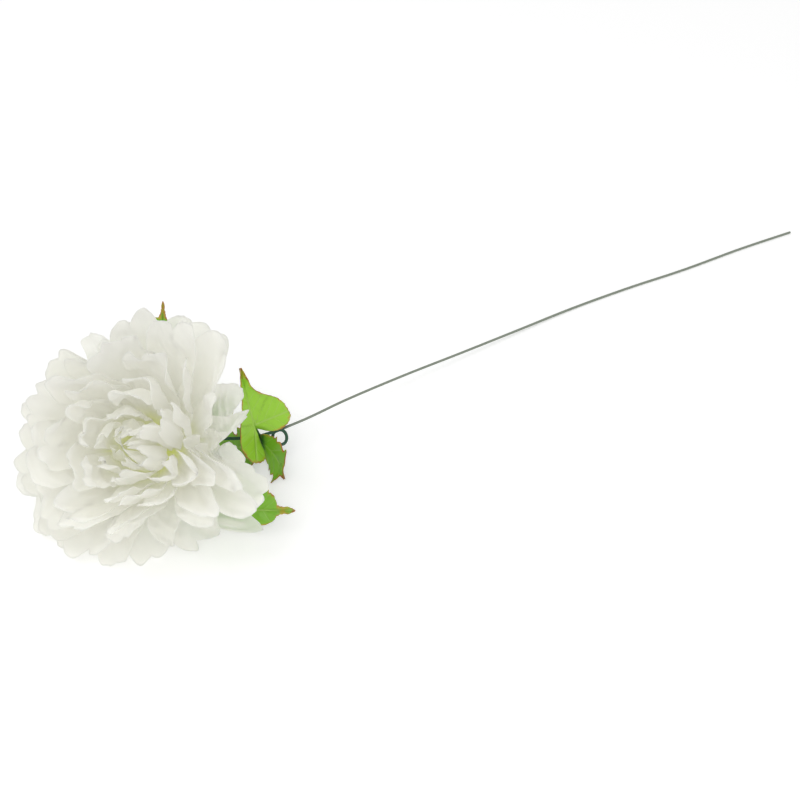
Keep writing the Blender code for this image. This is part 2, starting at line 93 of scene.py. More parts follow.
# The stack of discs on the pin
GAP = 0.3 * MM
CLOTH = 0.7 * MM
PETAL_DISCS = 11
DISC_STEP = 2.1 * MM
LEAF_DISC_UP = 0.65 * MM
BACK_DISC_UP = 2.4 * MM
PIN_RADIUS = 1.7 * MM
RIB_RADIUS = 2.9 * MM
RIB_THICK = 0.7 * MM
BACK_RIB_THICK = 0.4 * MM
BUTTON_RADIUS = 3.4 * MM
BUTTON_EDGE = 0.3 * MM
BUTTON_DOME = 1.3 * MM

# Half of the least space between the blades of one disc
BLADE_ROOM = 0.45 * MM

# Petal discs, from the middle of the face to the back: how many petals each has, and how many
# petals' pitch it is turned by. Each pair after that is for the middle disc and the back one, and
# a power says how a value grows between them.
PETAL_COUNTS = (4, 5, 6, 6, 7, 7, 7, 8, 8, 8, 8)
DISC_TURNS = (0.5, 1.25, 1.75, 2.5, 2.6, 3.75, 4.25, 5.0, 5.5, 5.75, 7.15)
PETAL_LENGTH = (36.0 * MM, 74.0 * MM)
PETAL_LEAN = (math.radians(2.0), math.radians(108.0))
PETAL_CURL = (math.radians(-60.0), math.radians(2.0))
PETAL_HALF_WIDTH = (12.0 * MM, 21.0 * MM)
PETAL_FLAT = (3.8 * MM, 7.5 * MM)
PETAL_BEND = (9.0 * MM, 20.0 * MM)
CRUMPLE_SHARE = (1.7, 0.9)
SPLIT_SHARE = (0.22, -0.06)
SIZE_POWER = 0.6
LEAN_POWER = 0.90
CURL_POWER = 1.4
CRUMPLE_POWER = 0.5
PETAL_SEED = 40
FINE_SEED = 400

# Petals are broader towards this side, and crowd away from it
BROAD_SIDE = math.radians(190.0)
CROWDING = 0.28

# A petal's cloth, its grid of columns and rows, and the lengths of its waves
PETAL_CLOTH = 0.35 * MM
PETAL_GRID = (34, 46)
RUFFLE_LENGTH = 7.0 * MM
PLEAT_HEIGHT = 0.35 * MM
CREASE_LENGTHS = (3.4 * MM, 1.9 * MM)
CRUMPLE_LENGTHS = (19.0 * MM, 14.0 * MM, 10.5 * MM, 8.0 * MM)
SPLIT_WIDTH = 0.15

# Leaves: lean and curl from the disc's axis and sweep round it in degrees, then length and half
# width in mm
CALYX_LEAVES = (
    (116.0, -6.0, 2.0, 101.0, 12.0),
    (117.0, 4.0, 0.0, 70.0, 15.0),
    (117.0, -4.0, 12.0, 72.0, 15.0),
    (122.0, 6.0, 0.0, 50.0, 13.0),
    (118.0, -2.0, 10.0, 90.0, 14.0),
    (117.0, 2.0, 0.0, 66.0, 15.0),
)
STEM_LEAVES = (
    (84.0, 10.0, -26.0, 36.0, 13.0),
    (96.0, 6.0, -30.0, 28.0, 19.0),
)
CALYX_LEAF_TURN = math.radians(95.0)
STEM_LEAF_TURN = math.radians(238.0)
CALYX_LEAF_SEED = 3
STEM_LEAF_SEED = 8
LEAF_CLOTH = 0.45 * MM
LEAF_GRID = (28, 84)
TOOTH_PITCH = 2.6 * MM
TOOTH_DEPTH = 0.55 * MM
NOTCH_PITCH = 9.0 * MM
NOTCH_SHARE = 0.26
TIP_SHARE = 0.36
RIB_PITCH = 6.5 * MM
RIB_SLOPE = 0.9
QUILT_DEPTH = 0.18 * MM
GROOVE_DEPTH = 0.35 * MM
GROOVE_WIDTH = 0.7 * MM
LEAF_SHADE = 0.9

# The big stem leaf, in mm from the disc's middle, out from the stem and aside along it: where its
# midrib, its margin towards the loop and its margin towards the flower are, and its ribs' ends
BIG_LEAF = (
    (5.0, 1.0, 4.8, -1.0, 4.8, 2.6),
    (8.0, 2.0, 0.5, -9.0, -10.0, 0.5),
    (11.0, 2.5, 0.8, -17.0, -14.5, 4.0),
    (14.0, 2.8, 5.5, -22.4, -12.5, 11.5),
    (17.5, 2.8, 12.5, -20.5, -4.5, 16.0),
    (21.0, 2.8, 18.5, -15.5, 6.0, 14.0),
    (25.0, 2.8, 22.5, -7.5, 14.0, 10.5),
    (30.0, 3.0, 27.0, -1.5, 24.0, 7.6),
    (35.0, 3.2, 33.5, 1.0, 32.0, 6.2),
    (40.0, 3.6, 40.0, 3.4, 40.0, 3.8),
)
BIG_LEAF_RIB_START = (7.0, 1.8)
BIG_LEAF_RIB_ENDS = ((40.0, 3.6), (9.0, -22.5), (-13.5, 8.0))
BIG_LEAF_TURN = math.radians(14.0)
BIG_LEAF_PROUD = 4.0 * MM
BIG_LEAF_MARGIN_UP = 2.0 * MM
BIG_LEAF_TIP_UP = 5.0 * MM
BIG_LEAF_REACH = (0.35, 1.0)

# The calyx cup
FLANGE_RADIUS = 9.0 * MM
FLANGE_THICK = 1.2 * MM
FLANGE_SCALLOPS = 8
SCALLOP_DEPTH = 0.35 * MM
CUP_DEPTH = 17.0 * MM
CUP_END_RADIUS = 3.3 * MM
CUP_FLARE = 2.9 * MM
CUP_EDGE = 0.3 * MM
CUP_FLUTES = 10
FLUTE_DEPTH = 0.22 * MM
PIN_SOCKET_DEPTH = 6.3 * MM
WIRE_SOCKET_TOP = 8.0 * MM

# The wire and its tape, its loop, and where it bends, in mm from the stem's origin
WIRE_RADIUS = 0.75 * MM
TAPED_RADIUS = 1.1 * MM
TAPE_RADIUS = 0.92 * MM
TAPE_BULGE = 2.0 * MM
TAPE_PITCH = 7.0 * MM
TAPE_STEP = 0.09 * MM
LOOP_RADIUS = 4.2 * MM
LOOP_PITCH = 2.9 * MM
LOOP_INWARDS = Vector((-0.25, -0.72, -0.64))
WIRE_SIDES = 20
STEPS_PER_BEND = 18
LOOP_STEPS = 96
UPPER_BENDS = ((37.0, 21.0, 26.0), (55.0, 15.0, 20.5))
STEM_BENDS = (
    (108.0, 10.8, 12.6),
    (138.0, 14.7, 9.6),
    (179.0, 16.9, 6.6),
    (221.0, 17.4, 4.0),
    (264.0, 17.6, 2.0),
    (308.0, 17.0, 0.9),
    (351.0, 13.6, 0.75),
    (394.0, 8.5, 0.75),
    (440.0, 5.0, 0.75),
    (480.4, 0.4, 0.75),
)

# The tape's radius at places along the wire, in mm from the middle of the stem's leaf disc
TAPE_AT_LEAVES = (
    (-1.5, TAPE_BULGE),
    (-0.7, TAPE_BULGE),
    (-0.65, TAPED_RADIUS),
    (0.65, TAPED_RADIUS),
    (0.7, TAPE_BULGE),
    (2.2, TAPE_BULGE * 0.8),
    (3.0, TAPED_RADIUS),
)

# The petals' cloth: whites for the two ends of its tone, painted shade for its streaks and its
# folds, the yellow-green of its foot, a painted glow in the white and at the foot that stands in
# for light let through the cloth into the pockets, the white of the light it lets through, and
# where along the petal the foot fades out
PETAL_WHITES = ((0.975, 0.972, 0.945), (0.94, 0.937, 0.895))
STREAK_PAINTED_SHADE = (0.92, 0.915, 0.89)
FOLD_PAINTED_SHADE = (0.90, 0.895, 0.87)
FOOT_YELLOW = (0.93, 0.96, 0.60)
PETAL_PAINTED_GLOWS = ((0.22, 0.22, 0.205), (0.58, 0.59, 0.32))
PETAL_PAINTED_GLOW_STRENGTH = 0.45
THROUGH_WHITE = (0.96, 0.958, 0.932)
PETAL_THROUGH_SHARE = 0.78
PETAL_FOOT = (7.0 * MM, 34.0 * MM)
THREAD_PITCH = 0.42 * MM

# Leaves: green, deep green and the burnt edge, for the printed face and the one under it
LEAF_TOP = ((0.43, 0.80, 0.055), (0.23, 0.54, 0.03), (0.50, 0.12, 0.03))
LEAF_UNDER = ((0.16, 0.36, 0.08), (0.08, 0.22, 0.07), (0.26, 0.11, 0.03))
VEIN_GREEN = (0.62, 0.78, 0.24)
ROOT_GREEN = (0.015, 0.09, 0.035)
RUST = (0.80, 0.38, 0.06)
LEAF_THROUGH_SHARE = 0.22

# Wire, tape and plastic, each between two close colours, and bare steel
COAT_GREYS = ((0.19, 0.225, 0.175), (0.26, 0.285, 0.235))
TAPE_GREENS = ((0.01, 0.04, 0.025), (0.03, 0.10, 0.055))
TAPE_GRAIN = (0.10, 0.20, 0.13)
STEEL = (0.55, 0.54, 0.52)
CALYX_GREENS = ((0.09, 0.21, 0.06), (0.13, 0.27, 0.08))
PIN_YELLOWS = ((0.72, 0.76, 0.38), (0.80, 0.81, 0.55))

# The floor, and the lights: a pale sky, and disks that face the flower, with their place and power
FLOOR_WHITES = ((0.90, 0.90, 0.90), (0.92, 0.92, 0.92))
FLOOR_GLOW = 0.23
FLOOR_HALF = 3.0
SKY_STRENGTH = 0.70
LIGHT_SIZE = 1.0
LIGHTS = {
    "front": ((-0.64, -0.86, 1.0), 3.2),
    "key": ((-0.75, 0.15, 1.25), 3.4),
    "fill": ((0.35, -1.2, 0.9), 0.8),
}

# The camera: its place from the stem's origin, where it looks, and its sensor and lens in mm
CAMERA_OFFSET = Vector((-0.24123, -0.61140, 0.66728))
CAMERA_LOOK = Vector((0.41125, 0.61898, -0.66913))
SENSOR = 36.0
LENS = 74.975


def mix(ends, share):
    return ends[0] + (ends[1] - ends[0]) * share


def smooth(low, high, value):
    """0 below low and 1 above high, with no corner between."""
    share = np.clip((value - low) / (high - low), 0.0, 1.0)
    return share * share * (3.0 - 2.0 * share)


def frame_along(origin, direction):
    """A placement whose Z axis is the direction and whose Y axis leans as far up as it can."""
    z = direction.normalized()
    x = Vector((0.0, 0.0, 1.0)).cross(z).normalized()
    y = z.cross(x)
    return Matrix.Translation(origin) @ Matrix((x, y, z)).transposed().to_4x4()


def from_stem_origin(place):
    return STEM_ORIGIN + Vector(place) * MM


FACE = Vector(
    (
        -math.cos(FACE_ELEVATION) * math.cos(FACE_TURN),
        -math.cos(FACE_ELEVATION) * math.sin(FACE_TURN),
        math.sin(FACE_ELEVATION),
    )
)
HEAD_BASE = HEAD_CENTRE - FACE * BALL_CENTRE_UP
HEAD = frame_along(HEAD_BASE, FACE)
BEHIND_HEAD = HEAD_CENTRE - FACE * BEHIND_FACE
LEAF_NODE = from_stem_origin((73.0, 8.5, 17.5))
LOOP_TOP = from_stem_origin((87.0, 9.6, 14.4))


class Value:
    """A shader socket's output. Arithmetic on it adds Math nodes to its finish."""

    def __init__(self, finish, socket):
        self.finish = finish
        self.socket = socket

    def math(self, operation, *others):
        return self.finish.math(operation, self, *others)

    def __add__(self, other):
        return self.math("ADD", other)

    def __radd__(self, other):
        return self.finish.math("ADD", other, self)

    def __sub__(self, other):
        return self.math("SUBTRACT", other)

    def __rsub__(self, other):
        return self.finish.math("SUBTRACT", other, self)

    def __mul__(self, other):
        return self.math("MULTIPLY", other)

    def __rmul__(self, other):
        return self.finish.math("MULTIPLY", other, self)

    def __truediv__(self, other):
        return self.math("DIVIDE", other)

    def __pow__(self, other):
        return self.math("POWER", other)


class Finish:
    """A procedural material under construction."""

    def __init__(self, name):
        self.material = bpy.data.materials.new(name)
        self.material.use_nodes = True
        self.tree = self.material.node_tree
        self.shader = self.tree.nodes["Principled BSDF"]
        self.output = self.tree.nodes["Material Output"]

    def node(self, kind, settings=None, values=(), out=0):
        """Any node: its settings first, then its sockets, by name in a dict or in order."""
        made = self.tree.nodes.new(kind)
        for key, setting in (settings or {}).items():
            setattr(made, key, setting)
        pairs = values.items() if isinstance(values, dict) else enumerate(values)
        for key, value in pairs:
            self.feed(made.inputs[key], value)
        return Value(self, made.outputs[out])

    def feed(self, socket, value):
        if isinstance(value, Value):
            self.tree.links.new(value.socket, socket)
        elif isinstance(value, tuple) and len(value) == 3 and socket.type == "RGBA":
            socket.default_value = (*value, 1.0)
        else:
            socket.default_value = value

    def set(self, **sockets):
        """Principled sockets by name, with underscores for spaces."""
        for key, value in sockets.items():
            self.feed(self.shader.inputs[key.replace("_", " ")], value)

    def math(self, operation, *values):
        return self.node("ShaderNodeMath", {"operation": operation}, values)

    def attribute(self, name, out="Fac"):
        return self.node("ShaderNodeAttribute", {"attribute_name": name}, out=out)

    def cloth(self):
        """The three values of the cloth attribute."""
        vector = self.attribute("cloth", "Vector")
        split = self.node("ShaderNodeSeparateXYZ", {}, (vector,)).socket.node
        return [Value(self, socket) for socket in split.outputs]

    def place(self):
        """Where a point is on its object."""
        return self.node("ShaderNodeTexCoord", out="Object")

    def vector(self, x, y, z):
        return self.node("ShaderNodeCombineXYZ", {}, (x, y, z))

    def rise(self, low, high, value):
        """0 below low and 1 above high, with a smooth rise between."""
        settings = {"interpolation_type": "SMOOTHSTEP"}
        return self.node("ShaderNodeMapRange", settings, {0: value, 1: low, 2: high})

    def blend(self, share, first, second):
        """The first colour where share is 0, and the second where it is 1."""
        made = self.tree.nodes.new("ShaderNodeMix")
        made.data_type = "RGBA"
        self.feed(made.inputs[0], share)
        self.feed(made.inputs[6], first)
        self.feed(made.inputs[7], second)
        return Value(self, made.outputs[2])

    def noise(self, vector, scale, detail=3.0, roughness=0.55):
        sockets = {"Vector": vector, "Scale": scale, "Detail": detail, "Roughness": roughness}
        return self.node("ShaderNodeTexNoise", {}, sockets)

    def bump(self, height, distance, strength):
        sockets = {"Strength": strength, "Distance": distance, "Height": height}
        self.set(Normal=self.node("ShaderNodeBump", {}, sockets))

    def let_light_through(self, share, place, first, second):
        """Mixes the surface, by the share, with translucent cloth.

        The cloth has the first colour where place is 0, and the second where it is 1.
        """
        tints = (first, second)
        cloths = [self.node("ShaderNodeBsdfTranslucent", {}, (tint,)) for tint in tints]
        behind = self.node("ShaderNodeMixShader", {}, (place, *cloths))
        front = Value(self, self.shader.outputs[0])
        both = self.node("ShaderNodeMixShader", {}, (share, front, behind))
        self.feed(self.output.inputs["Surface"], both)


def petal_cloth():
    """White cloth: a faint weave, streaks along the petal with painted shade in them and in its
    folds, a painted glow, and a yellow-green foot.

    The cloth attribute is metres across and along the petal, and its tone. Streaks and folds are
    noise stretched along the petal; both darken the white as painted shade, and the streaks also
    bump the surface. The foot fades out along it, unevenly, and is fainter on petals of a low tone.
    The glow is painted light, most at the foot, that stands in for light let through the cloth into
    the pockets. The weave is one sine across times another along.
    """
    finish = Finish("petal_cloth_fine")
    across, along, tone = finish.cloth()
    streaks = finish.noise(finish.vector(across * 900.0, along * 40.0, tone * 9.0), 1.0)
    folds = finish.noise(finish.vector(across * 260.0, along * 55.0, tone * 31.0), 1.0, 2.0)
    mottle = finish.noise(finish.vector(across, along, tone), 90.0, 2.0)
    foot = 1.0 - finish.rise(*PETAL_FOOT, along + (mottle - 0.5) * 8.0 * MM)
    foot = foot * (0.45 + finish.rise(0.35, 0.75, tone) * 0.55)
    flush = foot**1.6
    white = finish.blend(tone, *PETAL_WHITES)
    # Painted shade: a darker, greyer white along the streaks and the folds
    white = finish.blend(finish.rise(0.38, 0.72, streaks) * 0.45, white, STREAK_PAINTED_SHADE)
    white = finish.blend(finish.rise(0.50, 0.66, folds) * 0.5, white, FOLD_PAINTED_SHADE)
    warp, weft = ((run * (TURN / THREAD_PITCH)).math("SINE") for run in (across, along))
    finish.set(
        Base_Color=finish.blend(flush, white, FOOT_YELLOW),
        Roughness=0.78,
        Specular_IOR_Level=0.25,
        Sheen_Weight=0.15,
        # Painted glow: the cloth gives off light, most at the foot, in place of light let through
        # into the pockets between the petals
        Emission_Color=finish.blend(foot, *PETAL_PAINTED_GLOWS),
        Emission_Strength=PETAL_PAINTED_GLOW_STRENGTH,
    )
    finish.bump(warp * weft * 0.12 + streaks, 0.25 * MM, 0.5)
    finish.let_light_through(PETAL_THROUGH_SHARE, flush, THROUGH_WHITE, FOOT_YELLOW)
    return finish.material


def leaf_cloth(name, green, deep, edge):
    """Printed cloth: green with a deep foot, pale veins, and a margin that is red-brown in places.

    The cloth attribute is metres aside of the midrib, along it and in from the margin. The veins
    are the midrib and the peaks of a cosine that slants away from it. Rust and burn reach in from
    the margin by an uneven width.
    """
    finish = Finish(name)
    across, along, margin = finish.cloth()
    place = finish.vector(across, along, 0.0)
    mottle = finish.noise(place, 140.0, 4.0)
    singe = finish.noise(place, 230.0, 2.0)
    reach = finish.attribute("reach") + (mottle - 0.5) * 0.3
    foot = 1.0 - finish.rise(0.10, 0.55, reach)
    root = 1.0 - finish.rise(0.05, 0.26, reach)
    shade = (foot * 0.6).math("MAXIMUM", finish.attribute("shade"))
    distance = across.math("ABSOLUTE")
    ribs = (along - distance * RIB_SLOPE) * (TURN / RIB_PITCH)
    rib = finish.rise(0.86, 1.0, ribs.math("COSINE"))
    midrib = 1.0 - finish.rise(0.25 * MM, 0.8 * MM, distance)
    vein = (rib * 0.5).math("MAXIMUM", midrib)
    rust = 1.0 - finish.rise(0.6 * MM, 2.8 * MM, margin + (0.60 - singe) * 9.0 * MM)
    burn = 1.0 - finish.rise(0.1 * MM, 1.1 * MM, margin + (0.56 - mottle) * 5.0 * MM)
    colour = finish.blend(shade, green, deep)
    for share, tint in (
        (finish.rise(0.45, 0.8, mottle) * 0.4, deep),
        (vein * 0.35, VEIN_GREEN),
        (root * 0.9, ROOT_GREEN),
        (rust * 0.6, RUST),
        (burn * 0.9, edge),
    ):
        colour = finish.blend(share, colour, tint)
    finish.set(Base_Color=colour, Roughness=0.30, Specular_IOR_Level=0.5)
    finish.bump(vein * -1.0 + mottle * 0.3, 0.3 * MM, 0.7)
    finish.let_light_through(LEAF_THROUGH_SHARE, shade, green, deep)
    return finish.material


def stem_coat():
    """Grey-green coated wire, dark green floral tape with its laps, and bare steel at the cut.

    The cloth attribute is the turn round the wire, metres along it, and how much of it is tape. A
    lap starts wherever the turns along the tape pass a whole number.
    """
    finish = Finish("stem_coat_fine")
    round_it, along, tape = finish.cloth()
    place = finish.place()
    grain = finish.noise(place, 2600.0, 3.0)
    patch = finish.noise(place, 160.0, 2.0)
    lap = finish.rise(0.0, 0.12, (along / TAPE_PITCH + round_it).math("FRACT")) * tape
    coat = finish.blend(patch, *COAT_GREYS)
    taped = finish.blend(grain * 0.3, finish.blend(lap, *TAPE_GREENS), TAPE_GRAIN)
    cut = finish.attribute("cut")
    finish.set(
        Base_Color=finish.blend(cut, finish.blend(tape, coat, taped), STEEL),
        Roughness=0.5 + tape * 0.25 - cut * 0.2,
        Metallic=cut,
        Specular_IOR_Level=0.4,
    )
    finish.bump(grain * 0.5 + lap, 0.12 * MM, 0.8)
    return finish.material


def moulded_plastic(name, colour, pale):
    """Plastic with a fine grain, patchy between two close colours."""
    finish = Finish(name)
    place = finish.place()
    grain = finish.noise(place, 900.0, 3.0)
    patch = finish.noise(place, 150.0, 2.0)
    finish.set(
        Base_Color=finish.blend(patch, colour, pale),
        Roughness=0.5 + (grain - 0.5) * 0.2,
        Specular_IOR_Level=0.4,
    )
    finish.bump(grain, 0.05 * MM, 0.5)
    return finish.material


def floor_paper():
    """White paper that gives off a little light, so that it reads as pure white."""
    finish = Finish("floor_paper")
    finish.set(
        Base_Color=finish.blend(finish.noise(finish.place(), 400.0, 3.0), *FLOOR_WHITES),
        Roughness=0.9,
        Specular_IOR_Level=0.1,
        Emission_Color=(1.0, 1.0, 1.0),
        Emission_Strength=FLOOR_GLOW,
    )
    return finish.material


def add_object(name, data):
    made = bpy.data.objects.new(name, data)
    bpy.context.scene.collection.objects.link(made)
    return made


def mesh_object(name, points, faces, *finishes):
    """A mesh from an array of points and an array of quads, smooth shaded."""
    mesh = bpy.data.meshes.new(name)
    mesh.from_pydata(points.reshape(-1, 3).tolist(), [], faces.tolist())
    mesh.shade_smooth()
    for finish in finishes:
        mesh.materials.append(finish)
    return add_object(name, mesh)


def give_attribute(piece, name, values):
    """A value or a vector at each of the piece's points, for its material to read."""
    kind, key = ("FLOAT_VECTOR", "vector") if values.ndim == 2 else ("FLOAT", "value")
    layer = piece.data.attributes.new(name, kind, "POINT")
    layer.data.foreach_set(key, values.astype(np.float32).ravel())


def stand_for(piece, node):
    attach(piece, "root")
    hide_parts(node)


def thicken(piece, thickness, back_material=0):
    cloth = piece.modifiers.new("Cloth", "SOLIDIFY")
    cloth.thickness = thickness
    cloth.offset = 0.0
    cloth.material_offset = back_material


def merge_poles(piece):
    """Welds the rings that lie on the axis, where a round surface closes."""
    weld = piece.modifiers.new("Poles", "WELD")
    weld.merge_threshold = 0.01 * MM


def around_z(radius, turn, height):
    """Points at a radius, a turn round Z and a height."""
    x, y = radius * np.cos(turn), radius * np.sin(turn)
    return np.stack([x, y, height + 0.0 * x], axis=-1)


def spin(points, turns):
    """Spins points about Z by one turn, or each by its own."""
    c, s = np.cos(turns), np.sin(turns)
    x, y, z = points[..., 0], points[..., 1], points[..., 2]
    return np.stack([x * c - y * s, x * s + y * c, z], axis=-1)


def placed(points, placement):
    m = np.array(placement)
    return points @ m[:3, :3].T + m[:3, 3]


def grid_quads(rows, columns):
    """Quads of a grid of points, row by row, as an array of four corners each."""
    row, column = np.meshgrid(np.arange(rows - 1), np.arange(columns - 1), indexing="ij")
    first = (row * columns + column).ravel()
    return np.stack([first, first + columns, first + columns + 1, first + 1], axis=1)


def ring_quads(rings, steps):
    """Quads between rings of points that follow each other, closed round."""
    low = np.arange(rings - 1)[:, None] * steps
    here = np.arange(steps)
    after = (here + 1) % steps
    high = low + steps
    return np.stack([low + here, high + here, high + after, low + after], axis=-1).reshape(-1, 4)


def through(table, along):
    """The table's rows joined by smooth curves, read at each share along: a Catmull-Rom spline."""
    place = along * (len(table) - 1)
    first = np.minimum(place.astype(int), len(table) - 2)
    t = (place - first)[:, None]
    before, after = 2.0 * table[:1] - table[1:2], 2.0 * table[-1:] - table[-2:-1]
    rows = np.concatenate([before, table, after])
    a, b, c, d = (rows[first + step] for step in range(4))
    bend = (2.0 * a - 5.0 * b + 4.0 * c - d) * t**2 + (3.0 * b - 3.0 * c + d - a) * t**3
    return b + ((c - a) * t + bend) / 2.0


def spline(points):
    """A smooth path through the points, as a list of vectors."""
    steps = (len(points) - 1) * STEPS_PER_BEND
    return [Vector(place) for place in through(np.array(points), np.linspace(0.0, 1.0, steps + 1))]


def meridian(length, lean, curl, flat_radius, bend):
    """The line that a disc's blades follow: arc length, radius, height and angle from the axis.

    It runs flat out from the pin, turns up to its lean over the bend, and curls towards its tip.
    """
    s = np.linspace(0.0, length * 1.15, 300)
    turned_up = smooth(flat_radius * 0.8, flat_radius + bend, s)
    angle = mix((math.pi / 2, lean), turned_up) + curl * smooth(0.40 * length, 1.05 * length, s)
    ds = s[1] - s[0]
    middle = (angle[1:] + angle[:-1]) / 2
    radius = np.concatenate([[0.0], np.cumsum(np.sin(middle)) * ds])
    height = np.concatenate([[0.0], np.cumsum(np.cos(middle)) * ds])
    return s, radius, height, angle


def on_meridian(curve, s, across, half, offset):
    """Points at arc length s, raised off the blade's face by the offset.

    Across, from -1 to 1, is the place over the blade's half width.
    """
    radius, height, angle = (np.interp(s, curve[0], values) for values in curve[1:])
    turn = across * half / radius
    return around_z(radius - offset * np.cos(angle), turn, height + offset * np.sin(angle))


def waves(place, push, rows):
    """A push along x, y and z: the sine of each row's slopes times the place, plus its start."""
    rows = np.array(rows)
    return np.array(push) * np.sin(place @ rows[:, :3].T + rows[:, 3])


def tousle(points):
    """Pushes the ball of petals out of round, by nothing at the pin and more the further out.

    It leans over, waves, and swells away from the axis by the outline at its heading.
    """
    p = points / MM
    reach = smooth(*PUSH_GROWS, np.linalg.norm(p - np.array(PUSH_FROM), axis=-1))
    heading = np.arctan2(p[..., 1], p[..., 0])
    place = heading / TURN * len(OUTLINE)
    first = np.floor(place).astype(int)
    ends = [np.array(OUTLINE)[(first + step) % len(OUTLINE)] for step in (0, 1)]
    press = (heading - LEAF_PRESS_HEADING) / LEAF_PRESS_SPREAD
    swell = mix(ends, smooth(0.0, 1.0, place - first)) - LEAF_PRESS * np.exp(-(press**2))
    push = waves(p, BROAD_PUSH, BROAD_WAVES) + waves(p, FINE_PUSH, FINE_WAVES)
    push[..., 0] += LEAN_OVER
    push[..., :2] += swell[..., None] * p[..., :2]
    return points + push * reach[..., None] * MM


def crowded(points):
    """Turns points about the pin, away from the broad side, the more they look across it."""
    heading = np.arctan2(points[:, 1], points[:, 0])
    return spin(points, CROWDING * np.sin(heading - BROAD_SIDE))


def landed(points, centre, height):
    """Bends whatever hangs below the height away from the centre, until it lies along the floor.

    Each point keeps its distance along a curve that starts straight down and ends nearly flat.
    """
    depth = np.linspace(0.0, 90.0 * MM, 600)
    lie = LANDING_ANGLE * smooth(0.0, LANDING_REACH, depth)
    step = depth[1] - depth[0]
    drop = np.concatenate([[0.0], np.cumsum(np.cos(lie))[:-1]]) * step
    slide = np.concatenate([[0.0], np.cumsum(np.sin(lie))[:-1]]) * step
    below = np.maximum(height - points[..., 2], 0.0)
    out = points.copy()
    away = points[..., :2] - np.array(centre)[:2]
    away = away / np.linalg.norm(away, axis=-1)[..., None]
    out[..., :2] += away * np.interp(below, depth, slide)[..., None]
    out[..., 2] += below - np.interp(below, depth, drop)
    z = out[..., 2] - CLOTH / 2
    rounded = np.where(z < -LANDING_EASE, 0.0, (z + LANDING_EASE) ** 2 / (4.0 * LANDING_EASE))
    out[..., 2] = CLOTH / 2 + np.where(z > LANDING_EASE, z, rounded)
    return out


def disc_sheet(blades, columns, hole_radius, flat_radius):
    """The ring round the pin: its points, its quads and the rim points of each blade by index.

    Four rings of points run round, from the hole to the flat's rim, where the blades start.
    """
    around = blades * columns
    turns = (np.arange(around) - columns / 2) * TURN / around
    radii = np.linspace(hole_radius, flat_radius, 4)[:, None]
    starts = np.arange(blades)[:, None] * columns
    rims = 3 * around + (starts + np.arange(columns + 1)) % around
    return around_z(radii, turns, 0.0).reshape(-1, 3), ring_quads(4, around), rims


def blade_disc(grids, hole_radius, flat_radius, shape):
    """One die-cut disc as an open sheet: a ring, and the grids of its blades, which share the rim.

    Each grid is points (rows, columns + 1, 3) and its cloth attribute. Shape takes points to place.
    """
    rows, width = grids[0][0].shape[:2]
    points, quads, rims = disc_sheet(len(grids), width - 1, hole_radius, flat_radius)
    out = np.hypot(points[:, 0], points[:, 1])
    all_points, all_quads = [points], [quads]
    cloths = [np.stack([0.0 * out, out, np.full_like(out, 0.5)], axis=1)]
    start = len(points)
    for rim, (grid, cloth) in zip(rims, grids):
        own = start + np.arange(rows * width).reshape(rows, width)
        index = np.concatenate([rim[None, :], own])
        all_quads.append(index.ravel()[grid_quads(rows + 1, width)])
        all_points.append(grid.reshape(-1, 3))
        cloths.append(cloth.reshape(-1, 3))
        start += rows * width
    return shape(np.concatenate(all_points)), np.concatenate(all_quads), np.concatenate(cloths)


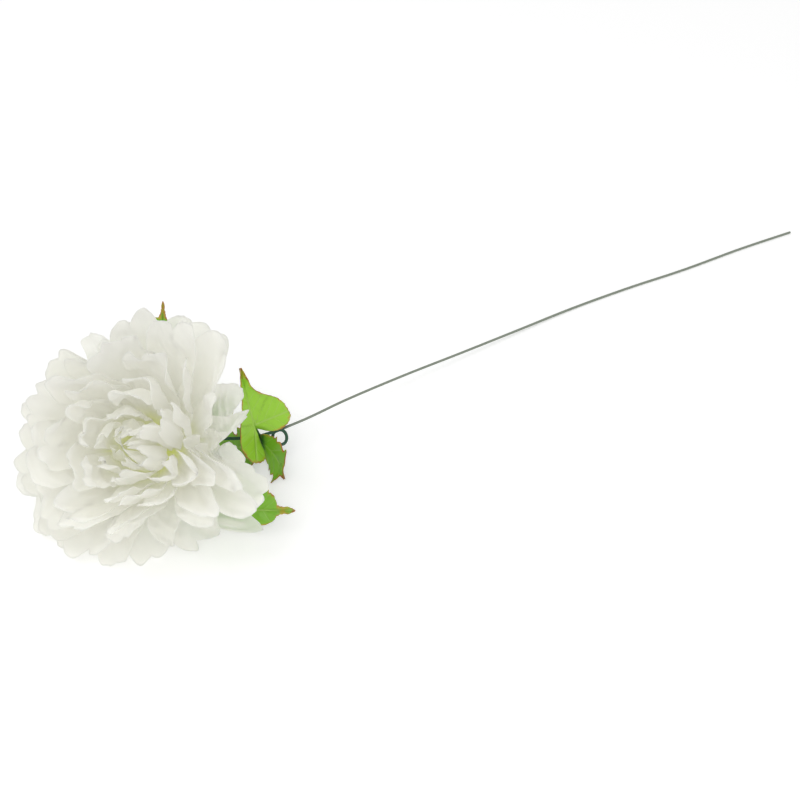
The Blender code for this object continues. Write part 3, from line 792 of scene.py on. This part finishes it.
def petal_grid(rng, fine, curve, flat_radius, length, blades, half_width, broad, crumple, split):
    """One petal's points, in its disc's own axes with the petal pointing along +X.

    Its tip is scalloped in one, two or three lobes, more of them the broader it is, and may have a
    narrow split, which is a fraction of its length. Its offset from the meridian is a cup across, a
    twist, a lift, a ruffle that grows at the margin, pressed pleats that fan out, two slanting
    creases, and four crumples: waves that each run their own way.
    """
    # Every kind of tip draws its own numbers, so that what follows doesn't hang on the kind
    long = length * rng.uniform(0.93, 1.05)
    kind = rng.random_sample()
    lobes = 1 if kind < 0.62 - 0.50 * broad else 2 if kind < 0.92 - 0.30 * broad else 3
    notches = (0.0, rng.uniform(0.05, 0.10), rng.uniform(0.04, 0.08))
    shoulders = (rng.uniform(0.14, 0.24), rng.uniform(0.07, 0.12), rng.uniform(0.08, 0.14))
    widths = (rng.uniform(0.52, 0.70), rng.uniform(0.78, 0.98), 1.05)
    tapers = (0.25, 0.08, 0.04)
    notch, shoulder, width, taper = (
        values[lobes - 1] for values in (notches, shoulders, widths, tapers)
    )
    wide = half_width * width
    cup = mix((0.42, 0.14), broad) * rng.uniform(0.6, 1.3)
    twist = rng.uniform(-0.13, 0.13)
    lift = rng.uniform(-0.03, 0.04) * long
    ruffle = rng.uniform(0.06, 0.18)
    phase = rng.uniform(0.0, TURN)
    slant = fine.uniform(0.0, TURN)
    crease = fine.uniform(0.4, 1.0) * MM
    pleats = fine.uniform(2.0, 3.6)
    swells = fine.uniform(0.25, 0.65, 4) * crumple * MM
    slants = fine.uniform(0.0, TURN, 4)
    starts = fine.uniform(0.0, TURN, 4)
    frays = fine.uniform(0.15, 0.50, 3) * MM
    split = max(split, 0.0) * fine.uniform(0.3, 1.0)
    split_at = fine.uniform(-0.5, 0.5)

    columns, rows = PETAL_GRID
    across = np.sin(np.linspace(-1.0, 1.0, columns + 1) * 1.35) / math.sin(1.35)
    across = across[None, :]
    along = (np.arange(1, rows + 1) / rows)[:, None] ** 0.93
    scallop = np.abs(np.sin(0.5 * math.pi * lobes * (across + 1.0))) ** 0.6
    tip = 1.0 - shoulder * np.abs(across) ** 3.2 - notch * (1.0 - scallop)
    tip = tip - split * np.exp(-(((across - split_at) / SPLIT_WIDTH) ** 2))
    fray = frays[0] * np.sin(6.0 * across + starts[0])
    fray = fray + frays[1] * np.sin(11.0 * across + starts[1])
    fray = fray + frays[2] * 0.6 * np.sin(19.0 * across + starts[2])
    s = flat_radius + (long * tip + fray * smooth(0.6, 1.0, along) - flat_radius) * along
    room = math.pi * np.interp(s, curve[0], curve[1]) / blades - BLADE_ROOM
    half = room * wide / (room**4 + wide**4) ** 0.25 * (1.0 - taper * along**4)
    grow = smooth(0.12, 1.0, along)
    offset = cup * half * (across**2 - 0.35) * grow
    offset = offset + twist * across * half * grow + lift * grow**1.5
    margin = np.abs(across) ** 4 * half * grow
    offset = offset + ruffle * margin * np.sin(s / RUFFLE_LENGTH + phase + 2.0 * across)
    fan = np.cos(math.pi * pleats * across + phase) * smooth(0.1, 0.5, along) * (1.0 - across**4)
    offset = offset + PLEAT_HEIGHT * fan
    first, second = (s / pitch for pitch in CREASE_LENGTHS)
    offset = offset + crease * np.sin(first + 2.2 * across + phase) * grow
    offset = offset + 0.5 * crease * np.sin(second - 3.0 * across + slant) * grow
    for swell, way, start, pitch in zip(swells, slants, starts, CRUMPLE_LENGTHS):
        run = across * half * math.cos(way) + s * math.sin(way)
        offset = offset + swell * np.sin(TURN * run / pitch + start) * grow
    tone = np.full_like(s, fine.random_sample())
    cloth = np.stack([across * half, s, tone], axis=-1)
    return on_meridian(curve, s, across, half, offset), cloth


def petal_disc(number, finish):
    """Petal discs count from 1, in the middle of the face, to PETAL_DISCS at the back."""
    share = (number - 1) / (PETAL_DISCS - 1)
    rng = np.random.RandomState(PETAL_SEED + number)
    fine = np.random.RandomState(FINE_SEED + number)
    blades = PETAL_COUNTS[number - 1]
    length, half_width = (
        mix(ends, share**SIZE_POWER) for ends in (PETAL_LENGTH, PETAL_HALF_WIDTH)
    )
    crumple, split = (mix(ends, share**CRUMPLE_POWER) for ends in (CRUMPLE_SHARE, SPLIT_SHARE))
    lean = mix(PETAL_LEAN, share**LEAN_POWER)
    curl = mix(PETAL_CURL, share**CURL_POWER)
    flat_radius = mix(PETAL_FLAT, share)
    curve = meridian(length, lean, curl, flat_radius, mix(PETAL_BEND, share))
    pitch = TURN / blades
    first_turn = DISC_TURNS[number - 1] * pitch
    grids = []
    for index in range(blades):
        broad = 0.5 + 0.5 * math.cos(first_turn + index * pitch - BROAD_SIDE)
        grid, cloth = petal_grid(
            rng, fine, curve, flat_radius, length, blades, half_width, broad, crumple, split
        )
        grids.append((spin(grid, index * pitch), cloth))

    def shape(points):
        points = crowded(spin(points, first_turn))
        points[:, 2] += BACK_DISC_UP + (PETAL_DISCS - number) * DISC_STEP
        return landed(placed(tousle(points), HEAD), BEHIND_HEAD, LANDING_HEIGHT)

    name = f"petal_disc_{number:02d}"
    points, quads, cloth = blade_disc(grids, PIN_RADIUS + GAP, flat_radius, shape)
    piece = mesh_object(name + "_cloth", points, quads, finish)
    give_attribute(piece, "cloth", cloth)
    thicken(piece, PETAL_CLOTH)
    stand_for(piece, name)


def leaf_relief(run, aside, ribs_clear, groove_clear):
    """What is pressed into a leaf: a groove along the rib, and quilting between the side veins."""
    groove = GROOVE_DEPTH * np.exp(-((aside / GROOVE_WIDTH) ** 2)) * groove_clear
    ribs = np.cos((run - RIB_SLOPE * np.abs(aside)) * TURN / RIB_PITCH)
    return -groove - QUILT_DEPTH * ribs * ribs_clear


def leaf_grid(rng, curve, flat_radius, length, blades, half_width, sweep):
    """One leaf's points: lobed and toothed sides that narrow to a long tip, folded at its midrib.

    Its half width is a bulge times four slow lobes, narrower again towards the tip, and cut into
    notches and fine teeth by two sawtooth waves. Its offset is a fold, a twist, a droop, a wave
    along the margin, and the relief of its veins.
    """
    long = length * rng.uniform(0.92, 1.04)
    wide = half_width * rng.uniform(0.88, 1.06)
    fold = rng.uniform(0.10, 0.24)
    twist = rng.uniform(-0.22, 0.22)
    droop = rng.uniform(-0.02, 0.06) * long
    wave = rng.uniform(0.8, 1.6) * MM
    phase = rng.uniform(0.0, TURN)

    columns, rows = LEAF_GRID
    across = np.linspace(-1.0, 1.0, columns + 1)[None, :]
    aside = np.abs(across)
    along = (np.arange(1, rows + 1) / rows)[:, None]
    s = flat_radius + (long - flat_radius) * along
    blade = np.sin(math.pi * np.minimum(along, 0.9999) ** 0.86) ** 0.72 * (1.0 - 0.35 * along)
    lobes = 1.0 + 0.30 * np.cos(TURN * (4.0 * along - 0.12))
    teeth = (-along * long / TOOTH_PITCH) % 1.0
    notches = (0.4 - along * long / NOTCH_PITCH) % 1.0 * smooth(0.15, 0.35, along)
    full = wide * 1.30 * blade * lobes + 0.5 * MM * (1.0 - along) + 0.1 * MM
    room = math.pi * np.interp(s, curve[0], curve[1]) / blades - BLADE_ROOM
    half = room * full / (room**4 + full**4) ** 0.25
    half = half * (1.0 - NOTCH_SHARE * notches) * (1.0 - TIP_SHARE * smooth(0.82, 0.92, along))
    half = half - TOOTH_DEPTH * teeth * smooth(0.12, 0.3, along) * smooth(1.0, 0.93, along)
    s = s + 0.30 * half * aside**1.4 * np.sin(math.pi * along)
    grow = smooth(0.10, 1.0, along)
    offset = fold * half * (aside - 0.4) * grow + twist * across * half * grow - droop * grow
    offset = offset + wave * np.sin(7.0 * along + 1.6 * across + phase) * grow * aside
    ribs_clear = smooth(0.05, 0.3, aside) * smooth(0.05, 0.2, along)
    offset = offset + leaf_relief(s, across * half, ribs_clear, grow)
    margin = np.minimum(half * (1.0 - aside), (1.0 - along) * long * 0.4)
    cloth = np.stack([across * half, s, margin], axis=-1)
    points = spin(on_meridian(curve, s, across, half, offset), sweep * along**2)
    return points, cloth, np.broadcast_to(along, s.shape)


def toothed(middle, margin):
    """A margin cut into teeth: pulled in towards the midrib by a sawtooth of its own length."""
    run = np.concatenate([[0.0], np.cumsum(np.linalg.norm(np.diff(margin, axis=0), axis=1))])
    away = margin - middle
    width = np.linalg.norm(away, axis=1)
    cut = TOOTH_DEPTH * ((-run / TOOTH_PITCH) % 1.0) * smooth(2.0 * MM, 6.0 * MM, width)
    return margin - away * (cut / np.maximum(width, 0.1 * MM))[:, None]


def nearest_rib(place):
    """For each place on the big leaf: how far along its nearest rib it is, and how far aside of it.

    The third value is 0 where two ribs are as near as each other, and 1 well away from there.
    """
    start = np.array(BIG_LEAF_RIB_START) * MM
    lines = np.array(BIG_LEAF_RIB_ENDS) * MM - start
    lines = lines / np.linalg.norm(lines, axis=1)[:, None]
    away = place - start
    runs = away @ lines.T
    asides = away @ np.stack([-lines[:, 1], lines[:, 0]])
    gaps = np.hypot(asides, np.minimum(runs, 0.0))
    order = np.argsort(gaps, axis=-1)
    run, aside = (np.take_along_axis(v, order, axis=-1)[..., 0] for v in (runs, asides))
    gaps = np.sort(gaps, axis=-1)
    return run, aside, smooth(0.0, 3.0 * MM, gaps[..., 1] - gaps[..., 0])


def big_leaf_grid():
    """The three-lobed leaf's points, turned on its stalk to lie along the stem, proud of it.

    Each row runs from one toothed margin over the midrib to the other. The margins and the tip lift
    further, and each lobe has the relief of its own rib.
    """
    columns, rows = LEAF_GRID
    along = np.linspace(0.0, 1.0, rows)
    middle, right, left = np.split(through(np.array(BIG_LEAF) * MM, along), 3, axis=1)
    right, left = toothed(middle, right)[:, None], toothed(middle, left)[:, None]
    middle, along = middle[:, None], along[:, None]
    across = np.linspace(-1.0, 1.0, columns + 1)[None, :]
    reach = np.abs(across)
    edge = np.where(across[..., None] > 0.0, left, right) - middle
    place = middle + edge * reach[..., None]
    run, aside, clear = nearest_rib(place)
    proud = BIG_LEAF_PROUD * smooth(-0.08, 0.16, along)
    proud = proud + BIG_LEAF_MARGIN_UP * reach * smooth(0.2, 0.5, along)
    proud = proud + BIG_LEAF_TIP_UP * along**2
    ribs_clear = clear * smooth(0.5 * MM, 2.0 * MM, np.abs(aside))
    proud = proud + leaf_relief(run, aside, ribs_clear, smooth(0.0, 0.1, along))
    margin = np.minimum(np.linalg.norm(edge, axis=-1) * (1.0 - reach), (1.0 - along) * 14.0 * MM)
    points = np.stack([place[..., 0], -proud, place[..., 1]], axis=-1)
    cloth = np.stack([aside, run, margin], axis=-1)
    reach = np.broadcast_to(mix(BIG_LEAF_REACH, along), run.shape)
    return spin(points, BIG_LEAF_TURN), cloth, reach


def leaf_disc(name, leaves, big_leaf, first_turn, hole_radius, flat_radius, seed, finishes, shape):
    """The first leaf points first_turn round from +X. The big leaf, where there is one, is last.

    The reach attribute is 0 at a leaf's foot and 1 at its tip, and shade is how deep its green is.
    """
    rng = np.random.RandomState(seed)
    blades = len(leaves) + int(big_leaf)
    made = []
    for lean, curl, sweep, long, wide in leaves:
        long, wide = long * MM, wide * MM
        curve = meridian(long, math.radians(lean), math.radians(curl), flat_radius, long * 0.2)
        leaf = leaf_grid(rng, curve, flat_radius, long, blades, wide, math.radians(sweep))
        made.append((*leaf, LEAF_SHADE))
    if big_leaf:
        made.append((*big_leaf_grid(), 0.0))
    grids = [(spin(leaf[0], i * TURN / blades), leaf[1]) for i, leaf in enumerate(made)]
    reaches = [reach.ravel() for points, cloth, reach, shade in made]
    shades = [np.full(reach.size, shade) for points, cloth, reach, shade in made]
    points, quads, cloth = blade_disc(
        grids, hole_radius, flat_radius, lambda p: shape(spin(p, first_turn))
    )
    piece = mesh_object(name + "_cloth", points, quads, *finishes)
    give_attribute(piece, "cloth", cloth)
    ring = len(points) - sum(len(reach) for reach in reaches)
    give_attribute(piece, "reach", np.concatenate([np.zeros(ring), *reaches]))
    give_attribute(piece, "shade", np.concatenate([np.ones(ring), *shades]))
    thicken(piece, LEAF_CLOTH, 1)
    stand_for(piece, name)


def calyx_leaf_disc(finishes):
    def shape(points):
        points[:, 2] += LEAF_DISC_UP
        return landed(placed(tousle(points), HEAD), BEHIND_HEAD, LANDING_HEIGHT)

    name, turn, seed = "calyx_leaf_disc", CALYX_LEAF_TURN, CALYX_LEAF_SEED
    hole, flat = PIN_RADIUS + GAP, FLANGE_RADIUS + 2.0 * MM
    leaf_disc(name, CALYX_LEAVES, False, turn, hole, flat, seed, finishes, shape)


def stem_leaf_disc(finishes):
    placement = frame_along(LEAF_NODE, LEAF_NODE - LOOP_TOP)
    centre = LEAF_NODE + Vector((6.0, 6.0, 0.0)) * MM

    def shape(points):
        return landed(placed(points, placement), centre, LANDING_HEIGHT * 0.8)

    name, turn, seed = "stem_leaf_disc", STEM_LEAF_TURN, STEM_LEAF_SEED
    hole = TAPED_RADIUS + GAP
    leaf_disc(name, STEM_LEAVES, True, turn, hole, hole + 2.7 * MM, seed, finishes, shape)


def turned(name, profile, steps, finish, swell=None):
    """A solid of revolution on the head's axis, from a profile of radii and heights.

    Points run round the axis on rings, one for each point of the profile, and both ends are closed.
    Swell(turn, radius, up) is how far the surface stands proud of the profile.
    """
    radius, up = np.array(profile).T[:, :, None]
    turn = (np.arange(steps) * TURN / steps)[None, :]
    wide = radius if swell is None else radius + swell(turn, radius, up)
    points = placed(around_z(wide, turn, up), HEAD)
    piece = mesh_object(name, points, ring_quads(len(profile), steps), finish)
    merge_poles(piece)
    return piece


def calyx_cup(finish):
    """The cup: fluted sides under a flange that is cut into eight shallow scallops."""
    pin_hole, wire_hole = PIN_RADIUS + GAP, TAPED_RADIUS + GAP
    flange = (FLANGE_RADIUS, FLANGE_RADIUS - CUP_EDGE)
    profile = [(0.0, -PIN_SOCKET_DEPTH), (pin_hole, -PIN_SOCKET_DEPTH)]
    profile += [(pin_hole, -0.02 * MM), (pin_hole, 0.0), (flange[1], 0.0), (flange[0], -CUP_EDGE)]
    profile += [(flange[0], -FLANGE_THICK + CUP_EDGE), (flange[1], -FLANGE_THICK)]
    for share in np.linspace(0.0, 1.0, 14):
        outer = CUP_END_RADIUS + CUP_FLARE * (1.0 - share) ** 2.2
        profile.append((outer, mix((-1.7 * MM, -CUP_DEPTH + CUP_EDGE), share)))
    profile += [(CUP_END_RADIUS - CUP_EDGE, -CUP_DEPTH), (wire_hole, -CUP_DEPTH)]
    profile += [(wire_hole, -WIRE_SOCKET_TOP), (0.0, -WIRE_SOCKET_TOP)]

    def swell(turn, radius, up):
        side = smooth(2.2 * MM, 3.0 * MM, radius) * smooth(-0.2 * MM, -0.9 * MM, up)
        rim = smooth(7.0 * MM, 8.6 * MM, radius)
        flutes = FLUTE_DEPTH * (1.0 - np.cos(CUP_FLUTES * turn)) * side * (1.0 - rim)
        scallops = SCALLOP_DEPTH * (1.0 - np.abs(np.cos(FLANGE_SCALLOPS / 2 * turn))) * rim
        return -flutes - scallops

    piece = turned("calyx_cup_moulding", profile, 160, finish, swell)
    stand_for(piece, "calyx_cup")


def core_pin(finish):
    """The pin: a rib under each disc, and a domed button on top."""
    top = BACK_DISC_UP + (PETAL_DISCS - 1) * DISC_STEP + CLOTH / 2 + GAP
    profile = []
    for turn in np.linspace(0.0, math.pi / 2, 9):
        up = top + BUTTON_EDGE + BUTTON_DOME * math.cos(turn)
        profile.append((BUTTON_RADIUS * math.sin(turn), up))
    profile += [(BUTTON_RADIUS, top), (PIN_RADIUS, top)]
    for number in range(1, PETAL_DISCS + 1):
        under = BACK_DISC_UP + (PETAL_DISCS - number) * DISC_STEP - CLOTH / 2 - GAP
        thick = RIB_THICK if number < PETAL_DISCS else BACK_RIB_THICK
        profile += [(PIN_RADIUS, under), (RIB_RADIUS, under)]
        profile += [(RIB_RADIUS, under - thick), (PIN_RADIUS, under - thick)]
    profile += [(PIN_RADIUS, -PIN_SOCKET_DEPTH + GAP), (0.0, -PIN_SOCKET_DEPTH + GAP)]
    piece = turned("core_pin_moulding", profile, 64, finish)
    stand_for(piece, "core_pin")


def stem_path():
    """The wire's middle line, with a radius at each point, from the cup's socket to its cut end."""
    socket = HEAD_BASE - FACE * (WIRE_SOCKET_TOP + GAP)
    mouth = HEAD_BASE - FACE * (CUP_DEPTH + 3.0 * MM)
    run = (LOOP_TOP - LEAF_NODE).normalized()
    inwards = (LOOP_INWARDS - run * LOOP_INWARDS.dot(run)).normalized()
    side = run.cross(inwards)
    upper = [mouth, *map(from_stem_origin, UPPER_BENDS), LEAF_NODE - run * 1.9 * MM]
    path = [(point, TAPED_RADIUS) for point in [socket, *spline(upper)]]
    for along, radius in TAPE_AT_LEAVES:
        path.append((LEAF_NODE + run * along * MM, radius))
    loop_middle = LOOP_TOP + inwards * LOOP_RADIUS
    for step in range(LOOP_STEPS + 1):
        turn = TURN * step / LOOP_STEPS
        round_it = run * math.sin(turn) - inwards * math.cos(turn)
        shift = side * LOOP_PITCH * (step / LOOP_STEPS - 0.5)
        path.append((loop_middle + round_it * LOOP_RADIUS + shift, TAPED_RADIUS))
    lower = [path[-1][0], *map(from_stem_origin, STEM_BENDS)]
    for number, point in enumerate(spline(lower)[1:]):
        bared = min(1.0, number / STEPS_PER_BEND * 2.0)
        path.append((point, mix((TAPED_RADIUS, WIRE_RADIUS), bared)))
    return path


def tube(path, radii, sides, ridge):
    """A tube's points on rings square to the path, whose first direction is carried along it.

    Ridge(along, turn) is how far the surface stands off the radius, at each place along and round.
    """
    ahead = np.gradient(path, axis=0)
    ahead /= np.linalg.norm(ahead, axis=1)[:, None]
    normal = np.zeros_like(path)
    normal[0] = np.cross(ahead[0], [0.0, 0.0, 1.0])
    for i in range(1, len(path)):
        normal[i] = normal[i - 1] - ahead[i] * (normal[i - 1] @ ahead[i])
    normal /= np.linalg.norm(normal, axis=1)[:, None]
    aside = np.cross(ahead, normal)
    turn = (np.arange(sides) * TURN / sides)[None, :]
    along = np.concatenate([[0.0], np.cumsum(np.linalg.norm(np.diff(path, axis=0), axis=1))])
    radius = radii[:, None] + ridge(along[:, None], turn)
    out = np.cos(turn)[..., None] * normal[:, None] + np.sin(turn)[..., None] * aside[:, None]
    return path[:, None] + radius[..., None] * out, along


def wire_stem(finish):
    """The wire as a tube with both ends closed. The tape's laps are low steps that wind down it."""
    path = stem_path()
    middle = np.array([tuple(point) for point, radius in path])
    radii = np.array([radius for point, radius in path])
    taped = smooth(WIRE_RADIUS * 1.02, TAPED_RADIUS * 0.99, radii)
    radii = np.where(radii > TAPED_RADIUS, radii, mix((WIRE_RADIUS, TAPE_RADIUS), taped))

    def ridge(along, turn):
        lap = (along / TAPE_PITCH + turn / TURN) % 1.0
        return TAPE_STEP * (lap - 0.5) * taped[:, None]

    points, along = tube(middle, radii, WIRE_SIDES, ridge)
    ends = [np.repeat(end[None, None], WIRE_SIDES, axis=1) for end in (middle[0], middle[-1])]
    points = np.concatenate([ends[0], points, ends[1]])
    shape = points.shape[:2]
    quads = ring_quads(*shape)[:, [0, 3, 2, 1]]
    piece = mesh_object("wire_stem_coated", points, quads, finish)
    turns = (np.arange(WIRE_SIDES) / WIRE_SIDES)[None, :]
    along, taped = (np.pad(values, 1, mode="edge")[:, None] for values in (along, taped))
    cloth = [np.broadcast_to(values, shape) for values in (turns, along, taped)]
    give_attribute(piece, "cloth", np.stack(cloth, axis=-1).reshape(-1, 3))
    cut = np.zeros(shape)
    cut[-1] = 1.0
    give_attribute(piece, "cut", cut.ravel())
    merge_poles(piece)
    stand_for(piece, "wire_stem")


def floor(finish):
    corners = np.array([(-1.0, -1.0, 0.0), (1.0, -1.0, 0.0), (1.0, 1.0, 0.0), (-1.0, 1.0, 0.0)])
    piece = mesh_object("floor", corners * FLOOR_HALF, np.array([(0, 1, 2, 3)]), finish)


def aim(made, place, direction):
    """Puts a light or the camera at the place, facing along the direction."""
    made.location = place
    made.rotation_euler = direction.to_track_quat("-Z", "Y").to_euler()


def studio():
    scene = bpy.context.scene
    scene.view_settings.view_transform = "Standard"
    world = bpy.data.worlds.new("studio")
    scene.world = world
    world.use_nodes = True
    back = world.node_tree.nodes["Background"]
    back.inputs["Color"].default_value = (1.0, 1.0, 1.0, 1.0)
    back.inputs["Strength"].default_value = SKY_STRENGTH
    for name, (place, power) in LIGHTS.items():
        light = bpy.data.lights.new(name, "AREA")
        light.shape = "DISK"
        light.size = LIGHT_SIZE
        light.energy = power
        aim(add_object(name, light), Vector(place), HEAD_CENTRE - Vector(place))
    camera = add_object("camera", bpy.data.cameras.new("camera"))
    camera.data.sensor_width = SENSOR
    camera.data.lens = LENS
    aim(camera, STEM_ORIGIN + CAMERA_OFFSET, CAMERA_LOOK)
    scene.camera = camera


def main():
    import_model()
    studio()
    floor(floor_paper())
    white = petal_cloth()
    for number in range(1, PETAL_DISCS + 1):
        petal_disc(number, white)
    faces = (leaf_cloth("leaf_cloth_top", *LEAF_TOP), leaf_cloth("leaf_cloth_under", *LEAF_UNDER))
    calyx_leaf_disc(faces)
    stem_leaf_disc(faces)
    calyx_cup(moulded_plastic("calyx_plastic_fine", *CALYX_GREENS))
    core_pin(moulded_plastic("pin_plastic_fine", *PIN_YELLOWS))
    wire_stem(stem_coat())


main()
